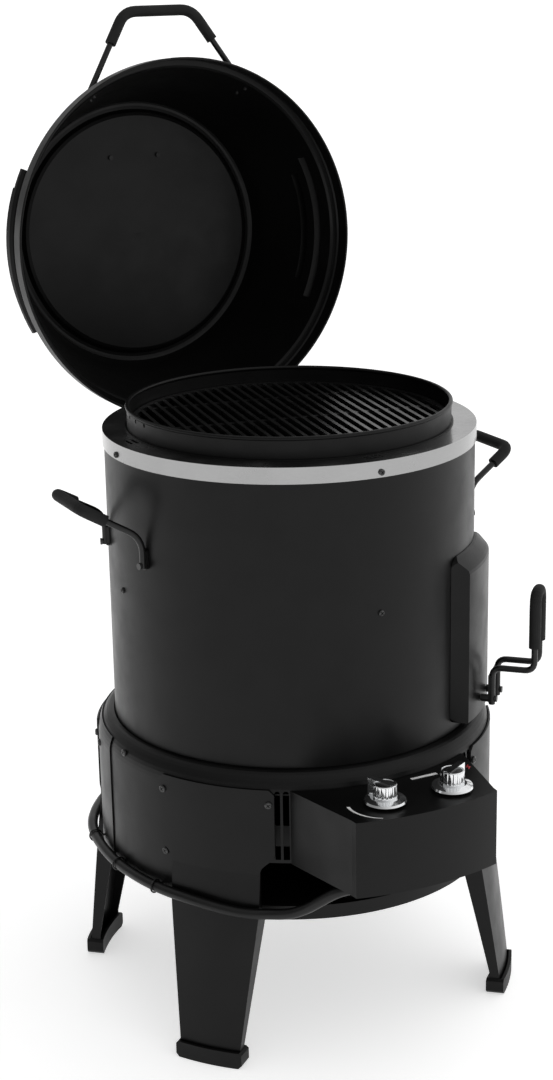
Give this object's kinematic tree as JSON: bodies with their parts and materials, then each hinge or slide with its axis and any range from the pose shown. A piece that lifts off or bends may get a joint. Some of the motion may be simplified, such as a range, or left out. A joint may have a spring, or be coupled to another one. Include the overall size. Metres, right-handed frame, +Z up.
{
  "type": "gas drum smoker and roaster",
  "caption": "Upright black drum cooker with a hinged domed lid, lift-out grate, pull-out smoker box, gas burner base with control knobs, side handles and stamped legs with boots.",
  "frame": {"origin": "on the floor, under the vertical axis of the drum", "axes": "+Z up, -Y towards the front where the controls are, +X towards the smoker box side"},
  "size_m": [0.58, 0.794, 1.1805],
  "materials": {
    "charcoal_paint": "satin black powder coat",
    "chamber_enamel": "matte black porcelain enamel",
    "boot_plastic": "matte moulded black plastic",
    "screw_steel": "blackened steel screws",
    "galvanised_steel": "plain galvanised sheet steel",
    "collar_steel": "light satin stainless steel",
    "grate_enamel": "satin black porcelain enamel on steel",
    "rod_enamel": "gloss black paint on steel rod",
    "grip_foam": "matte charcoal sleeve",
    "knob_chrome": "bright chrome",
    "white_print": "printed marks",
    "brass_fitting": "plain machined brass",
    "hose_rubber": "smooth black rubber",
    "black_plastic": "semi-gloss black plastic",
    "regulator_zinc": "plain die-cast grey metal",
    "electrode_ceramic": "white ceramic"
  },
  "bodies": {
    "base": {"base_skirt": "charcoal_paint", "rear_panel": "charcoal_paint", "leg_front_left": "charcoal_paint", "leg_front_right": "charcoal_paint", "leg_rear_left": "charcoal_paint", "leg_rear_right": "charcoal_paint", "foot_front_left": "boot_plastic", "foot_front_right": "boot_plastic", "foot_rear_left": "boot_plastic", "foot_rear_right": "boot_plastic", "leg_screws": "screw_steel", "bottom_pan": "chamber_enamel", "heat_shield": "galvanised_steel", "shield_arms": "galvanised_steel", "burner": "galvanised_steel", "venturi_tube": "galvanised_steel", "burner_bracket": "galvanised_steel", "igniter_electrode": "electrode_ceramic", "igniter_lead": "hose_rubber", "control_box": "charcoal_paint", "panel_marks": "white_print", "gas_valve": "brass_fitting", "igniter_module": "black_plastic", "hose_fitting": "brass_fitting", "gas_hose": "hose_rubber", "hose_rings": "rod_enamel", "regulator": "regulator_zinc", "regulator_hook": "charcoal_paint", "tray_rails": "galvanised_steel", "drum_shell": "charcoal_paint", "collar_ring": "collar_steel", "collar_screws": "screw_steel", "drum_screws": "screw_steel", "inner_chamber": "chamber_enamel", "left_handle_rod": "rod_enamel", "left_handle_grip": "grip_foam", "left_handle_bolts": "screw_steel", "right_handle_rod": "rod_enamel", "right_handle_grip": "grip_foam", "right_handle_bolts": "screw_steel", "smoker_frame": "galvanised_steel", "hinge_bracket": "charcoal_paint", "hinge_pin": "galvanised_steel", "hinge_screws": "screw_steel"},
    "lid": {"lid_shell": "charcoal_paint", "lid_handle_rod": "rod_enamel", "lid_handle_grip": "grip_foam", "lid_handle_bolts": "screw_steel", "lid_name_plate": "galvanised_steel", "hinge_leaf": "charcoal_paint"},
    "grate": {"cooking_grate": "grate_enamel"},
    "smoker_box": {"smoker_cover": "charcoal_paint", "chip_tray": "galvanised_steel", "smoker_handle_rod": "rod_enamel", "smoker_handle_grip": "grip_foam", "smoker_handle_bolts": "screw_steel"},
    "grease_tray": {"grease_tray": "grate_enamel"},
    "gas_stem": {"gas_stem_collar": "galvanised_steel"},
    "gas_knob": {"gas_knob": "knob_chrome"},
    "igniter_knob": {"igniter_knob": "knob_chrome"},
    "coupling": {"coupling_nut": "black_plastic"}
  },
  "joints": [
    {"name": "lid_hinge", "type": "hinge", "parent": "base", "child": "lid", "pos_m": [0, 0.2319, 0.6595], "axis": [-1, 0, 0], "range_deg": [-92.9, 0]},
    {"name": "grate_lift", "type": "slide", "parent": "base", "child": "grate", "axis": [0, 0, 1], "range_m": [0, 0.12]},
    {"name": "smoker_box_slide", "type": "slide", "parent": "base", "child": "smoker_box", "axis": [0.7218, -0.6921, 0], "range_m": [0, 0.08]},
    {"name": "grease_tray_slide", "type": "slide", "parent": "base", "child": "grease_tray", "axis": [0, -1, 0], "range_m": [0, 0.16]},
    {"name": "gas_knob_press", "type": "slide", "parent": "base", "child": "gas_stem", "axis": [0, 0, -1], "range_m": [0, 0.0025], "stiffness_N_per_m": 900, "springref_m": -0.003},
    {"name": "gas_knob_turn", "type": "hinge", "parent": "gas_stem", "child": "gas_knob", "pos_m": [-0.036, -0.291, 0.345], "axis": [0, 0, 1], "range_deg": [0, 135]},
    {"name": "igniter_turn", "type": "hinge", "parent": "base", "child": "igniter_knob", "pos_m": [0.049, -0.294, 0.345], "axis": [0, 0, 1], "range_deg": [0, 75], "stiffness_Nm_per_rad": 0.05, "springref_deg": -11.46},
    {"name": "coupling_turn", "type": "hinge", "parent": "base", "child": "coupling", "pos_m": [0.04677, 0.28724, 0.199], "axis": [0.9781, 0.2079, 0], "continuous": true}
  ]
}
